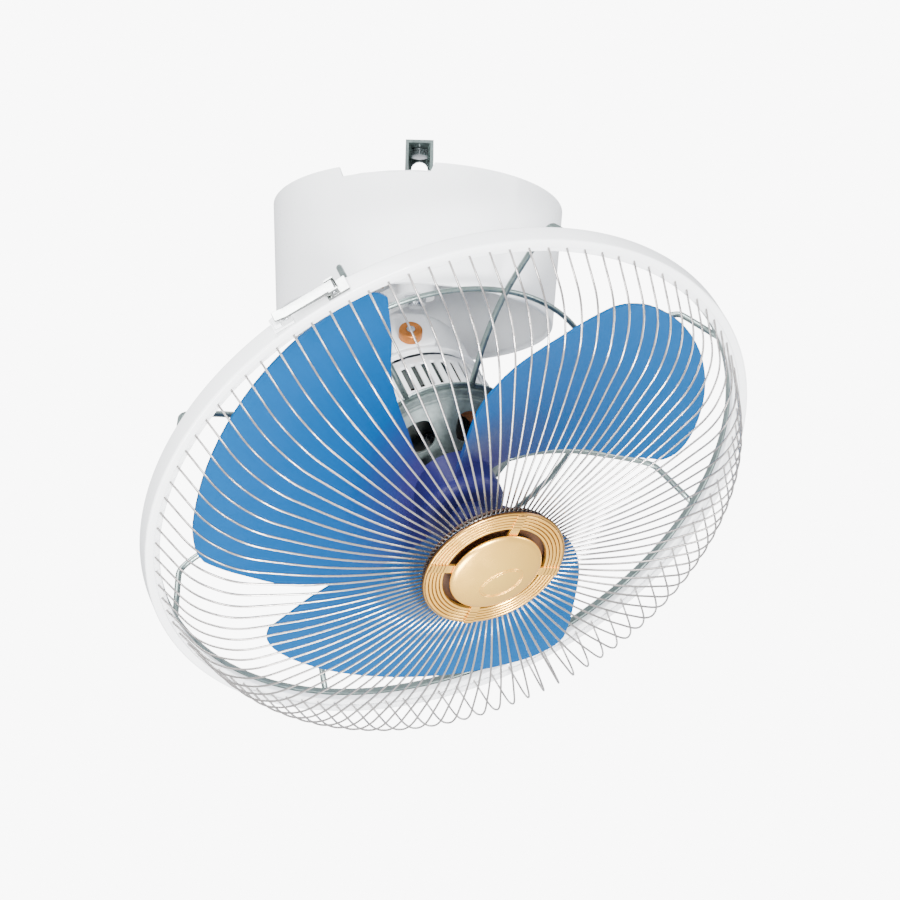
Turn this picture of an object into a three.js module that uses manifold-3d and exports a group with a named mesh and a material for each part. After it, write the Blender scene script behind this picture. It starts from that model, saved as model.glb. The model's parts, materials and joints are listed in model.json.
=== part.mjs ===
// Orbital ceiling fan, in millimetres, +Z up, with the origin on the top face of the hanger bracket.
// A caged fan head hangs under a round canopy and leans away from the vertical. A geared carrier arm swings
// the lean of the head round in a circle, the head turns back on the crank pin so that it keeps its heading,
// and the blades spin inside the cage.
import * as THREE from "three";
import { mergeVertices } from "three/addons/utils/BufferGeometryUtils.js";
import Module from "manifold-3d";

const wasm = await Module();
wasm.setup();

// ---- driving dimensions -------------------------------------------------------------------------
const GAP = 0.3; // clearance between pieces that touch or seat
const DEG = Math.PI / 180;

// where the lean axis of the head crosses the vertical axis, and how far the head leans
const PIVOT_DROP = 214;
const LEAN_SIDE = 21.5 * DEG;
const LEAN_FRONT = 30 * DEG;
const LEAN = Math.acos(Math.cos(LEAN_SIDE) * Math.cos(LEAN_FRONT));
const LEAN_HEADING = Math.atan2(-Math.cos(LEAN_SIDE) * Math.sin(LEAN_FRONT), Math.sin(LEAN_SIDE));

// hanger and support plate
const BRACKET_WIDTH = 22;
const BRACKET_FRONT = -18;
const BRACKET_BACK = 20;
const BRACKET_SHEET = 2.5;
const BRACKET_FOOT = 12;
const BRACKET_HOLE_R = 6.5;
const BRACKET_HOLE_DROP = 12;
const BOLT_R = 4;
const PLATE_TOP = -58;
const PLATE_SHEET = 2.5;
const PLATE_R = 97;

// canopy: a tapered drum with a rim notch
const CANOPY_TOP = -52;
const CANOPY_BOTTOM = -146;
const CANOPY_TOP_R = 113.4;
const CANOPY_BOTTOM_R = 107.5;
const CANOPY_WALL = 2.2;
const CANOPY_LEDGE_R = 86;
const CANOPY_NOTCH = { from: -121 * DEG, to: -84 * DEG, depth: 11 };
const CANOPY_SCREW_R = 91;
const CANOPY_SCREW_ANGLES = [25, 145, 265];

// orbit drive
const SPINDLE_R = 6;
const SPINDLE_TOP_R = 4.4;
const MOUNT_SCREWS = [[-17, 1], [17, 1]];
const BEARING_HOUSING_R = 24;
const BEARING_HOUSING_BOTTOM = -94;
const GEAR_MODULE = 3;
const GEAR_TEETH = 24;
const PINION_TEETH = 12;
const GEAR_TOP = -96;
const GEAR_THICKNESS = 6;
const ORBIT_MOTOR_ANGLE = 140 * DEG;
const ARM_TOP = -112;
const ARM_BOTTOM = -124;
const CRANK_BOSS_R = 14;
const CRANK_BOSS_FROM = -126;
const CRANK_BOSS_TO = -101;
const CRANK_PIN_R = 6;
const CRANK_PIN_END = -58;

// motor
const MOTOR_R = 61;
const MOTOR_FLANGE_R = 66;
const MOTOR_FLANGE_T = 39;
const VENT_COUNT = 36;
const COLLAR_R = 58;
const COLLAR_LIP_T = -2.4;
const SHAFT_R = 5;
const SHAFT_FROM = -12;
const SHAFT_TO = 127;
const HOUSING_SCREW_R = 63;

// guard
const HOOP_R = 242;
const HOOP_REAR = 76;
const HOOP_FRONT = 92;
const HOOP_WALL = 1.6;
const GUARD_WIRES = 96;
const WIRE_WIDTH = 2.2;
const LIP_R = HOOP_R - 6.6;
const RING_OUTER_R = HOOP_R - 2.5;
const RING_SPLIT_T = 84;
const CAP_R = 56.5;
const CAP_T = 175;
const CAP_BAR_ANGLE = 68.5 * DEG;
const CAP_SCREW_R = 5.6;
const CAP_DISC_R = 34;
const CAP_RIBS = 6;
const ROD_WIDTH = 4.4;
const ROD_COUNT = 8;
const ROD_FIRST = 17 * DEG;
const REAR_RING_R = 141;
const REAR_RING_T = 24.5;
const LATCH_ANGLE = 115 * DEG;

// blades
const BLADE_COUNT = 3;
const BLADE_TIP_R = 213;
const BLADE_THICKNESS = 2.2;
const HUB_R = 33;
const HUB_REAR = 84;
const HUB_FRONT = 119;

// ---- materials ----------------------------------------------------------------------------------
const paint = (color, roughness, metalness) => new THREE.MeshStandardMaterial({ color, roughness, metalness });
const whitePaint = paint(0xf4f5f5, 0.35, 0);
const creamWire = paint(0xeceae4, 0.35, 0.2);
const zincSteel = paint(0xa9b5ad, 0.35, 0.9);
const castGrey = paint(0x5d6f6b, 0.55, 0.4);
const bladeBlue = paint(0x1c91d6, 0.3, 0);
const gold = paint(0xdcc48c, 0.25, 0.8);
const brass = paint(0xb98338, 0.35, 0.9);
const steel = paint(0x9aa0a3, 0.3, 0.9);
const blackPlastic = paint(0x26282a, 0.6, 0);
const copper = paint(0xb3653a, 0.4, 0.8);
const coreSteel = paint(0x6f7478, 0.5, 0.8);

// ---- geometry helpers ---------------------------------------------------------------------------
// positions only, shared vertices merged, degenerate triangles dropped and faces pointing out
function weld(geometry) {
  const bare = geometry.clone();
  bare.deleteAttribute("normal");
  bare.deleteAttribute("uv");
  const merged = mergeVertices(bare, 1e-4);
  const position = merged.getAttribute("position").array;
  const index = Array.from(merged.index.array);
  const kept = [];
  for (let i = 0; i < index.length; i += 3) {
    const [a, b, c] = index.slice(i, i + 3);
    if (a !== b && b !== c && c !== a) kept.push(a, b, c);
  }
  if (signedVolume(position, kept) < 0) kept.reverse();
  merged.setIndex(kept);
  return merged;
}

function signedVolume(position, index) {
  const corner = [new THREE.Vector3(), new THREE.Vector3(), new THREE.Vector3()];
  let volume = 0;
  for (let i = 0; i < index.length; i += 3) {
    for (let k = 0; k < 3; k += 1) corner[k].fromArray(position, 3 * index[i + k]);
    volume += corner[0].dot(corner[1].clone().cross(corner[2])) / 6;
  }
  return volume;
}

function toSolid(geometry) {
  const welded = weld(geometry);
  return new wasm.Manifold(new wasm.Mesh({
    numProp: 3,
    vertProperties: Float32Array.from(welded.getAttribute("position").array),
    triVerts: Uint32Array.from(welded.index.array),
  }));
}

function fromSolid(solid) {
  const mesh = solid.getMesh();
  const geometry = new THREE.BufferGeometry();
  geometry.setAttribute("position", new THREE.Float32BufferAttribute(Array.from(mesh.vertProperties), 3));
  geometry.setIndex(Array.from(mesh.triVerts));
  return geometry;
}

const join = (first, ...others) => fromSolid(others.reduce((sum, g) => sum.add(toSolid(g)), toSolid(first)));
const cut = (body, ...tools) => fromSolid(tools.reduce((rest, g) => rest.subtract(toSolid(g)), toSolid(body)));

// profile points are [radius, height]; a profile starts and ends on the axis or closes on itself
function lathe(points, segments = 30) {
  const onAxis = points[0][0] === 0 && points[points.length - 1][0] === 0;
  const loop = onAxis ? points : [...points, points[0]];
  const geometry = new THREE.LatheGeometry(loop.map(([r, z]) => new THREE.Vector2(r, z)), segments);
  return geometry.rotateX(Math.PI / 2);
}

const tube = (inner, outer, low, high, segments = 24) =>
  lathe([[inner, low], [outer, low], [outer, high], [inner, high]], segments);

const rod = (radius, low, high, segments = 12) =>
  lathe([[0, low], [radius, low], [radius, high], [0, high]], segments);

const box = (x, y, z, at = [0, 0, 0]) => new THREE.BoxGeometry(x, y, z).translate(...at);

const polygon = (points) => new THREE.Shape(points.map(([x, y]) => new THREE.Vector2(x, y)));

// a flat outline in XY, pulled up from one height to another
const prism = (points, low, high) =>
  new THREE.ExtrudeGeometry(polygon(points), { depth: high - low, bevelEnabled: false }).translate(0, 0, low);

// a straight cylinder along X or Y through a point
const crossRod = (radius, length, axis, at, segments = 16) => {
  const geometry = rod(radius, -length / 2, length / 2, segments);
  return (axis === "x" ? geometry.rotateY(Math.PI / 2) : geometry.rotateX(Math.PI / 2)).translate(...at);
};

// a path that passes through each of its points, so that corners get points where they need them
class BentPath extends THREE.Curve {
  constructor(points) {
    super();
    this.points = points;
  }

  getPoint(t) {
    const place = Math.min(Math.max(t, 0), 1) * (this.points.length - 1);
    const i = Math.min(Math.floor(place), this.points.length - 2);
    return this.points[i].clone().lerp(this.points[i + 1], place - i);
  }

  getPointAt(u) {
    return this.getPoint(u);
  }

  getTangentAt(u) {
    return this.getTangent(u);
  }
}

// wire of a regular section along [radius, height] points in the XZ plane
function bentWire(profile, width, sides = 4) {
  const radius = width / 2 / Math.cos(Math.PI / sides);
  const section = [];
  for (let k = 0; k < sides; k += 1) {
    const angle = ((k + 0.5) * 2 * Math.PI) / sides;
    section.push([radius * Math.cos(angle), radius * Math.sin(angle)]);
  }
  const path = new BentPath(profile.map(([r, z]) => new THREE.Vector3(r, 0, z)));
  return new THREE.ExtrudeGeometry(polygon(section), { steps: profile.length - 1, extrudePath: path });
}

// a wire ring: its section is a square set on a corner
const wireRing = (r, z, width, segments) => {
  const half = width * 0.6;
  return lathe([[r - half, z], [r, z - half], [r + half, z], [r, z + half]], segments);
};

const turned = (geometry, angle) => geometry.clone().rotateZ(angle);

const stations = (count, from = 0) => Array.from({ length: count }, (_, i) => from + (i * 2 * Math.PI) / count);

// linear reading of a table of [input, output] rows, for edges that a few measured points describe
function along(table, x) {
  let i = 0;
  while (i < table.length - 2 && x > table[i + 1][0]) i += 1;
  const [x0, y0] = table[i];
  const [x1, y1] = table[i + 1];
  return THREE.MathUtils.lerp(y0, y1, THREE.MathUtils.clamp((x - x0) / (x1 - x0), 0, 1));
}

function piece(name, geometry, material) {
  const mesh = new THREE.Mesh(weld(geometry), material);
  mesh.name = name;
  mesh.geometry.computeVertexNormals();
  return mesh;
}

// ---- ceiling unit -------------------------------------------------------------------------------
// one folded sheet: top web, two cheeks, back wall with a hook hole, and feet turned out at the bottom
function hangerBracket() {
  const half = BRACKET_WIDTH / 2;
  const depth = BRACKET_BACK - BRACKET_FRONT;
  const middle = (BRACKET_BACK + BRACKET_FRONT) / 2;
  const inner = half - BRACKET_SHEET;
  const channel = prism([
    [-half, BRACKET_FRONT], [-inner, BRACKET_FRONT], [-inner, BRACKET_BACK - BRACKET_SHEET],
    [inner, BRACKET_BACK - BRACKET_SHEET], [inner, BRACKET_FRONT], [half, BRACKET_FRONT],
    [half, BRACKET_BACK], [-half, BRACKET_BACK],
  ], PLATE_TOP + GAP, -BRACKET_SHEET / 2);
  const web = box(BRACKET_WIDTH, depth, BRACKET_SHEET, [0, middle, -BRACKET_SHEET / 2]);
  const footZ = PLATE_TOP + GAP + BRACKET_SHEET / 2;
  const feet = [-1, 1].map((side) =>
    box(BRACKET_FOOT, depth, BRACKET_SHEET, [side * (half + BRACKET_FOOT / 2 - 0.5), middle, footZ]));
  const boltHole = rod(BOLT_R + GAP, -2 * BRACKET_SHEET, BRACKET_SHEET, 24);
  const hookHole = crossRod(BRACKET_HOLE_R, 3 * BRACKET_SHEET, "y", [0, BRACKET_BACK, -BRACKET_HOLE_DROP]);
  const screwHoles = MOUNT_SCREWS.map(([x, y]) => rod(2.4, PLATE_TOP - 1, PLATE_TOP + 6, 8).translate(x, y, 0));
  return cut(join(channel, web, ...feet), boltHole, hookHole, ...screwHoles);
}

// screws that hold the bracket feet, the plate and the bearing housing together
function mountScrew() {
  const seat = PLATE_TOP + BRACKET_SHEET + 2 * GAP;
  return lathe([
    [0, PLATE_TOP - 12], [2, PLATE_TOP - 12], [2, seat], [3.8, seat], [3.8, seat + 2.2], [2.6, seat + 3],
    [0, seat + 3],
  ], 8);
}

// hexagon head under the web, with its shank ending level with the bracket's top face
function hangerBolt() {
  const headTop = -BRACKET_SHEET - GAP;
  const head = new THREE.CylinderGeometry(7.4, 7.4, 5.3, 6).rotateX(Math.PI / 2).translate(0, 0, headTop - 2.65);
  return join(head, rod(BOLT_R, headTop - 1, 0, 24));
}

function supportPlate() {
  const low = PLATE_TOP - PLATE_SHEET;
  const disc = lathe([
    [SPINDLE_TOP_R + 0.6, low], [PLATE_R, low], [PLATE_R, PLATE_TOP + 5],
    [PLATE_R - PLATE_SHEET, PLATE_TOP + 5], [PLATE_R - PLATE_SHEET, PLATE_TOP], [SPINDLE_TOP_R + 0.6, PLATE_TOP],
  ], 28);
  const screwHoles = CANOPY_SCREW_ANGLES.map((angle) =>
    turned(rod(2.4, low - 1, PLATE_TOP + 1, 12).translate(CANOPY_SCREW_R, 0, 0), angle * DEG));
  const mountHoles = MOUNT_SCREWS.map(([x, y]) => rod(2.4, low - 1, PLATE_TOP + 1, 8).translate(x, y, 0));
  const cableHole = rod(7, low - 1, PLATE_TOP + 1, 12).translate(-38, -38, 0);
  return cut(disc, ...screwHoles, ...mountHoles, cableHole);
}

function canopy() {
  const ledgeTop = PLATE_TOP - PLATE_SHEET - GAP;
  const taper = (z) => THREE.MathUtils.mapLinear(z, CANOPY_BOTTOM, CANOPY_TOP, CANOPY_BOTTOM_R, CANOPY_TOP_R);
  const drum = lathe([
    [taper(CANOPY_BOTTOM) - 3.4, CANOPY_BOTTOM], [taper(CANOPY_BOTTOM), CANOPY_BOTTOM],
    [CANOPY_TOP_R, CANOPY_TOP], [CANOPY_TOP_R - CANOPY_WALL, CANOPY_TOP],
    [taper(ledgeTop) - CANOPY_WALL, ledgeTop], [CANOPY_LEDGE_R, ledgeTop], [CANOPY_LEDGE_R, ledgeTop - 2.2],
    [taper(ledgeTop) - CANOPY_WALL, ledgeTop - 2.2],
    [taper(CANOPY_BOTTOM + 5) - CANOPY_WALL, CANOPY_BOTTOM + 5], [taper(CANOPY_BOTTOM) - 3.4, CANOPY_BOTTOM + 3],
  ], 40);
  const reach = CANOPY_TOP_R + 5;
  const wedge = [[0.6 * reach * Math.cos(CANOPY_NOTCH.from), 0.6 * reach * Math.sin(CANOPY_NOTCH.from)]];
  for (let k = 0; k <= 4; k += 1) {
    const angle = THREE.MathUtils.lerp(CANOPY_NOTCH.from, CANOPY_NOTCH.to, k / 4);
    wedge.push([1.1 * reach * Math.cos(angle), 1.1 * reach * Math.sin(angle)]);
  }
  wedge.push([0.6 * reach * Math.cos(CANOPY_NOTCH.to), 0.6 * reach * Math.sin(CANOPY_NOTCH.to)]);
  const notchBottom = Math.max(CANOPY_TOP - CANOPY_NOTCH.depth, ledgeTop + 0.6);
  const screwHoles = CANOPY_SCREW_ANGLES.map((angle) =>
    turned(rod(2.4, ledgeTop - 4, ledgeTop + 1, 12).translate(CANOPY_SCREW_R, 0, 0), angle * DEG));
  return cut(drum, prism(wedge, notchBottom, CANOPY_TOP + 3), ...screwHoles);
}

function canopyScrew() {
  const headTop = PLATE_TOP - PLATE_SHEET - 2.2 - 2 * GAP;
  return lathe([
    [0, headTop - 3], [3.4, headTop - 2.6], [4.4, headTop - 1], [4.4, headTop], [2, headTop],
    [2, PLATE_TOP + 3], [0, PLATE_TOP + 3],
  ], 12).translate(CANOPY_SCREW_R, 0, 0);
}

// cast housing under the plate that carries the vertical spindle in two brass bushes
function bearingHousing() {
  const top = PLATE_TOP - PLATE_SHEET - GAP;
  const bore = SPINDLE_R + 2.6;
  const casting = lathe([
    [bore, BEARING_HOUSING_BOTTOM], [BEARING_HOUSING_R - 6, BEARING_HOUSING_BOTTOM],
    [BEARING_HOUSING_R - 3, BEARING_HOUSING_BOTTOM + 12], [BEARING_HOUSING_R, top - 8], [30, top - 4],
    [30, top], [bore, top],
  ], 20);
  const holes = MOUNT_SCREWS.map(([x, y]) => rod(2.4, PLATE_TOP - 13, PLATE_TOP, 8).translate(x, y, 0));
  return cut(casting, ...holes);
}

const spindleBush = (low, high) => tube(SPINDLE_R + 0.25, SPINDLE_R + 2.3, low, high, 16);

function terminalBlock() {
  const top = PLATE_TOP - PLATE_SHEET - GAP;
  const body = box(34, 16, 12, [0, 0, top - 6]);
  const wells = [-12, -4, 4, 12].map((x) => rod(2.2, top - 14, top - 6, 10).translate(x, 0, 0));
  return cut(body, ...wells).rotateZ(200 * DEG).translate(58, -30, 0);
}

function runCapacitor() {
  const top = PLATE_TOP - PLATE_SHEET - GAP;
  const outline = new THREE.Shape();
  outline.absarc(12, 0, 9, -Math.PI / 2, Math.PI / 2, false);
  outline.absarc(-12, 0, 9, Math.PI / 2, 1.5 * Math.PI, false);
  const body = new THREE.ExtrudeGeometry(outline, { depth: 24, bevelEnabled: false, curveSegments: 6 });
  return body.rotateZ(60 * DEG).translate(54, 30, top - 24);
}

function cableGrommet() {
  const low = PLATE_TOP - PLATE_SHEET;
  return lathe([
    [4.2, low - 3], [9, low - 3], [9, low - GAP], [6.7, low - GAP], [6.7, PLATE_TOP + GAP],
    [9, PLATE_TOP + GAP], [9, PLATE_TOP + 3], [4.2, PLATE_TOP + 3],
  ], 12).translate(-38, -38, 0);
}

// ---- orbit drive --------------------------------------------------------------------------------
// involute spur gear outline, with shortened teeth and a little backlash
function gearOutline(teeth, backlash) {
  const pitchR = (GEAR_MODULE * teeth) / 2;
  const baseR = pitchR * Math.cos(20 * DEG);
  const tipR = pitchR + 0.8 * GEAR_MODULE;
  const rootR = pitchR - 1.1 * GEAR_MODULE;
  const involute = (r) => {
    const pressure = Math.acos(Math.min(1, baseR / r));
    return Math.tan(pressure) - pressure;
  };
  const halfTooth = Math.PI / (2 * teeth) - backlash / 2 / pitchR + involute(pitchR);
  const flank = [0, 1].map((s) => {
    const r = THREE.MathUtils.lerp(Math.max(baseR, rootR), tipR, s);
    return [r, halfTooth - involute(r)];
  });
  const side = rootR < baseR ? [[rootR, halfTooth], ...flank] : flank;
  const points = [];
  for (const centre of stations(teeth)) {
    for (const [r, a] of side) points.push([r * Math.cos(centre - a), r * Math.sin(centre - a)]);
    for (const [r, a] of [...side].reverse()) points.push([r * Math.cos(centre + a), r * Math.sin(centre + a)]);
  }
  return points.filter(([x, y], i) => {
    const [px, py] = points[(i + points.length - 1) % points.length];
    return Math.hypot(x - px, y - py) > 0.02;
  });
}

const gearLow = GEAR_TOP - GEAR_THICKNESS;
const centreDistance = (GEAR_MODULE * (GEAR_TEETH + PINION_TEETH)) / 2;

function spindleGear() {
  const bore = rod(SPINDLE_R + GAP, gearLow - 1, GEAR_TOP + 1, 24);
  return cut(prism(gearOutline(GEAR_TEETH, 0.3), gearLow, GEAR_TOP), bore);
}

// the pinion's teeth face the gear's gaps along the line of centres
function drivePinion() {
  const halfPitch = Math.PI / PINION_TEETH;
  const teeth = prism(gearOutline(PINION_TEETH, 0.3), gearLow, GEAR_TOP);
  const gearPhase = (ORBIT_MOTOR_ANGLE * GEAR_TEETH) / PINION_TEETH;
  const turn = ORBIT_MOTOR_ANGLE + Math.PI + halfPitch + gearPhase;
  return join(teeth, rod(4, gearLow, GEAR_TOP + 17.5, 12)).rotateZ(turn);
}

// small geared motor beside the bearing housing, with its shaft hole underneath
function orbitMotor() {
  const top = PLATE_TOP - PLATE_SHEET - GAP;
  const can = lathe([
    [0, top], [21, top], [23, top - 1.5], [23, top - 24], [21, top - 26], [8, top - 26], [8, top - 30],
    [4.4, top - 30], [4.4, top - 16], [0, top - 16],
  ], 20);
  return can;
}

// carrier: steel spindle with a shoulder, and a cast arm that ends in an inclined boss
function carrierSpindle() {
  const shoulder = PLATE_TOP - PLATE_SHEET - 2 * GAP;
  return lathe([
    [0, ARM_BOTTOM - 8], [SPINDLE_R - 0.6, ARM_BOTTOM - 8], [SPINDLE_R - 0.6, gearLow],
    [SPINDLE_R, gearLow], [SPINDLE_R, shoulder], [SPINDLE_TOP_R, shoulder],
    [SPINDLE_TOP_R, PLATE_TOP + 10.5], [SPINDLE_TOP_R - 1, PLATE_TOP + 12], [0, PLATE_TOP + 12],
  ], 18);
}

const hexNut = (corner, bore, low, height) => {
  const hexagon = new THREE.CylinderGeometry(corner, corner, height, 6).rotateX(Math.PI / 2);
  return cut(hexagon.translate(0, 0, low + height / 2), rod(bore, low - 1, low + height + 1, 16));
};

const carrierNut = () => hexNut(8, SPINDLE_TOP_R + GAP, PLATE_TOP + GAP, 7);
const armNut = () => hexNut(9.6, SPINDLE_R - 0.6 + GAP, ARM_BOTTOM - GAP - 5.5, 5.5);

// the boss axis is the lean axis, so the arm is drawn along +X and turned to the lean heading
function carrierArm() {
  const bossMiddle = (CRANK_BOSS_FROM + CRANK_BOSS_TO) / 2;
  const outward = -bossMiddle * Math.sin(LEAN);
  const bossHeight = -PIVOT_DROP - bossMiddle * Math.cos(LEAN);
  const hub = rod(15, ARM_BOTTOM, gearLow - GAP, 20);
  const beamSide = [
    [0, ARM_BOTTOM], [14, ARM_BOTTOM], [outward + 4, bossHeight - 6], [outward + 6, bossHeight + 7], [8, ARM_TOP], [0, ARM_TOP],
  ];
  const beam = new THREE.ExtrudeGeometry(polygon(beamSide), { depth: 16, bevelEnabled: false })
    .rotateX(Math.PI / 2).translate(0, 8, 0);
  const bossLength = CRANK_BOSS_TO - CRANK_BOSS_FROM;
  const place = (geometry) => geometry.rotateY(LEAN).translate(outward, 0, bossHeight);
  const boss = place(rod(CRANK_BOSS_R, -bossLength / 2, bossLength / 2, 24));
  const pinHole = place(rod(CRANK_PIN_R + GAP, -bossLength, bossLength, 24));
  const spindleHole = rod(SPINDLE_R - 0.6 + GAP, ARM_BOTTOM - 1, GEAR_TOP, 20);
  return cut(join(hub, beam, boss), pinHole, spindleHole);
}

// ---- fan head, drawn about its own axis: +Z is the way the air leaves ----------------------------
function crankPin() {
  return lathe([
    [0, CRANK_BOSS_FROM - 1], [CRANK_PIN_R - 1, CRANK_BOSS_FROM - 1], [CRANK_PIN_R, CRANK_BOSS_FROM],
    [CRANK_PIN_R, CRANK_PIN_END - 6], [CRANK_PIN_R - 1.2, CRANK_PIN_END - 6],
    [CRANK_PIN_R - 1.2, CRANK_PIN_END - 4], [CRANK_PIN_R, CRANK_PIN_END - 4],
    [CRANK_PIN_R, CRANK_PIN_END], [0, CRANK_PIN_END],
  ], 20);
}

const crankRetainer = () =>
  tube(CRANK_PIN_R - 0.9, CRANK_PIN_R + 5, CRANK_PIN_END - 5.7, CRANK_PIN_END - 4.3, 20);

// white swivel housing: neck round the pin, dome, and a collar with a flat pad for the side bush
function swivelHousing() {
  const wall = 2.6;
  const shell = lathe([
    [CRANK_PIN_R + 2.6, -97], [15, -97], [17, -71], [38, -62], [52, -54], [COLLAR_R, -44],
    [COLLAR_R, COLLAR_LIP_T - 3], [COLLAR_R + 2.4, COLLAR_LIP_T - 3], [COLLAR_R + 2.4, COLLAR_LIP_T],
    [COLLAR_R - wall, COLLAR_LIP_T], [COLLAR_R - wall, -43], [50, -51.6], [36.5, -59.4],
    [CRANK_PIN_R + 2.6, -65],
  ], 32);
  const padReach = COLLAR_R + 2.6;
  const pad = box(padReach - 54, 38, 34, [(padReach + 54) / 2, 0, -26]);
  const inside = rod(COLLAR_R - wall - 0.2, -43, COLLAR_LIP_T + 2, 32);
  const bushHole = crossRod(6.4, 30, "x", [COLLAR_R, 0, -21]);
  const turn = 88 * DEG;
  return cut(join(shell, cut(pad, inside).rotateZ(turn)), bushHole.rotateZ(turn));
}

const neckBush = () => tube(CRANK_PIN_R + 0.25, CRANK_PIN_R + 2.3, -96, -67, 28);

// brass bush with a knurled-looking stepped head, standing on the collar's pad
function sideBush() {
  const face = COLLAR_R + 2.6 + GAP;
  return lathe([
    [2.2, -6], [6, -6], [6, 0], [8.8, 0], [9.2, 0.8], [9.2, 7.4], [8.4, 8.4], [3.8, 8.4], [2.2, 6.4],
  ], 16).rotateY(Math.PI / 2).translate(face, 0, -21).rotateZ(88 * DEG);
}

function sideBushScrew() {
  const face = COLLAR_R + 2.6 + GAP;
  return lathe([[0, -9], [1.9, -9], [1.9, 6.4], [3.3, 8.15], [3.3, 8.5], [0, 8.9]], 12)
    .rotateY(Math.PI / 2).translate(face, 0, -21).rotateZ(88 * DEG);
}

// vented rear shell of the motor
function motorRearHousing() {
  const shell = lathe([
    [13.4, -4.6], [50, -4.6], [58, -0.5], [MOTOR_R, 5], [MOTOR_R, 34], [MOTOR_FLANGE_R, 35.5],
    [MOTOR_FLANGE_R, MOTOR_FLANGE_T], [58.4, MOTOR_FLANGE_T], [58.4, 5], [50, -2.2], [13.4, -2.2],
  ], VENT_COUNT);
  const slot = box(9, 3.6, 20, [MOTOR_R - 1, 0, 18.5]);
  const slots = stations(VENT_COUNT, Math.PI / VENT_COUNT).map((angle) => turned(slot, angle));
  const holes = stations(4, 47 * DEG).map((angle) =>
    turned(rod(1.9, 34, 45, 10).translate(HOUSING_SCREW_R, 0, 0), angle));
  return cut(shell, ...slots, ...holes);
}

// dark cast front cover with six openings round the bearing boss
function motorFrontCover() {
  const low = MOTOR_FLANGE_T + 2 * GAP + 2;
  const shell = lathe([
    [56.6, low], [MOTOR_FLANGE_R, low], [MOTOR_FLANGE_R, low + 2.6], [59.6, low + 2.6], [57.5, low + 8],
    [49, low + 14.5], [36, low + 18.5], [17, low + 20.5], [17, low + 25], [11.4, low + 25], [11.4, low + 14],
    [14.4, low + 17.4], [35, low + 15.6], [47, low + 12],
  ], 24);
  const opening = [];
  for (let k = 0; k <= 2; k += 1) opening.push([45, -19 + 19 * k]);
  for (let k = 0; k <= 1; k += 1) opening.push([25, 14 - 28 * k]);
  const outline = opening.map(([r, a]) => [r * Math.cos(a * DEG), r * Math.sin(a * DEG)]);
  const openings = stations(6, 30 * DEG).map((angle) => turned(prism(outline, low + 4, low + 24), angle));
  const holes = stations(4, 47 * DEG).map((angle) =>
    turned(rod(1.9, low - 1, low + 4, 10).translate(HOUSING_SCREW_R, 0, 0), angle));
  return cut(shell, ...openings, ...holes);
}

function housingScrew() {
  const seat = MOTOR_FLANGE_T + 2 * GAP + 4.9;
  return lathe([
    [0, seat - 9], [1.6, seat - 9], [1.6, seat], [3, seat], [3, seat + 1.6], [2, seat + 2.4], [0, seat + 2.4],
  ], 10).translate(HOUSING_SCREW_R, 0, 0);
}

const bearing = (low, high, outer) => tube(SHAFT_R + 0.2, outer, low, high, 20);

const statorCore = () => tube(32, 57.8, 9.5, 33, 28);

const winding = (low, high) => lathe([
  [35, low], [50, low], [52, (low + high) / 2], [50, high], [35, high],
], 20);

// ---- guard --------------------------------------------------------------------------------------
// rear guard: bent rods from the hoop to a seat ring on the motor, tied by one wire ring
function rearGuard() {
  const seat = MOTOR_FLANGE_T + GAP;
  const seatRing = tube(61, 71, seat, seat + 2, 24);
  const profile = [
    [68, 40.3], [100, 32.2], [141, 28.2], [196, 33.5], [214, 38.5], [222.5, 47], [233, 81.5],
  ];
  const rods = stations(ROD_COUNT, ROD_FIRST).map((angle) => turned(bentWire(profile, ROD_WIDTH), angle));
  const ring = wireRing(REAR_RING_R, REAR_RING_T, ROD_WIDTH, 36);
  const footRing = tube(229, RING_OUTER_R, HOOP_REAR + HOOP_WALL + GAP, RING_SPLIT_T - GAP / 2, 36);
  const holes = stations(4, 47 * DEG).map((angle) =>
    turned(rod(1.9, seat - 1, seat + 3, 10).translate(HOUSING_SCREW_R, 0, 0), angle));
  return cut(join(seatRing, ring, footRing, ...rods), ...holes);
}

// white band round the guard: outer wall, front lip and rear lip
function guardHoop() {
  return lathe([
    [HOOP_R, HOOP_REAR], [HOOP_R, HOOP_FRONT], [LIP_R, HOOP_FRONT], [LIP_R, HOOP_FRONT - HOOP_WALL],
    [HOOP_R - HOOP_WALL, HOOP_FRONT - HOOP_WALL], [HOOP_R - HOOP_WALL, HOOP_REAR + HOOP_WALL],
    [LIP_R, HOOP_REAR + HOOP_WALL], [LIP_R, HOOP_REAR],
  ], 60);
}

// front guard: radial wires that rise from the rim wire, turn a round corner and run in to the cap
function frontGuard() {
  const profile = [
    [51, 172.5], [118, 170], [190, 156], [220, 131], [235, 86],
  ];
  const wire = toSolid(bentWire(profile, (WIRE_WIDTH * 2) / 3, 3));
  const facets = GUARD_WIRES / 2;
  const rim = tube(230, RING_OUTER_R, RING_SPLIT_T + GAP / 2, HOOP_FRONT - HOOP_WALL - GAP, facets);
  const inner = tube(49.6, 52.6, 170.4, CAP_T - GAP, facets);
  let guard = toSolid(rim).add(toSolid(inner));
  for (let i = 0; i < GUARD_WIRES; i += 1) {
    guard = guard.add(wire.rotate([0, 0, ((i + 0.5) * 360) / GUARD_WIRES]));
  }
  return fromSolid(guard);
}

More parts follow.
